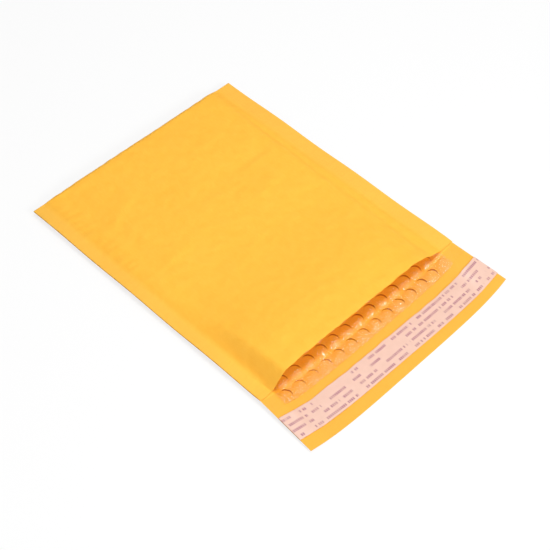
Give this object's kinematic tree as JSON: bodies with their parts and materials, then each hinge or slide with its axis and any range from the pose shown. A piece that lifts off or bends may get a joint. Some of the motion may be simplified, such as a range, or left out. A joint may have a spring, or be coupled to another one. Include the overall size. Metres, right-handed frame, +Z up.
{
  "type": "padded envelope",
  "caption": "Kraft paper mailing envelope lined with bubble film, lying on its back with its mouth gaping and its flap open, with a release liner over the adhesive.",
  "frame": {"origin": "centre of the envelope's bounding box, on the surface it lies on", "axes": "+X across the envelope, +Y from the flap to the folded bottom, +Z up from the back panel to the front panel"},
  "size_m": [0.1884, 0.2594, 0.017],
  "materials": {
    "kraft_paper": "uncoated golden kraft paper, matt with faint wrinkles",
    "bubble_film": "clear polyethylene bubble film, glossy, tinted by the paper behind it",
    "adhesive": "clear amber hot-melt adhesive",
    "liner_paper": "pinkish white release paper, silicone coated, with rows of plain dashes"
  },
  "bodies": {
    "root": {"kraft_sleeve": "kraft_paper", "bubble_lining": "bubble_film", "adhesive_strip": "adhesive", "release_liner": "liner_paper"}
  },
  "joints": []
}
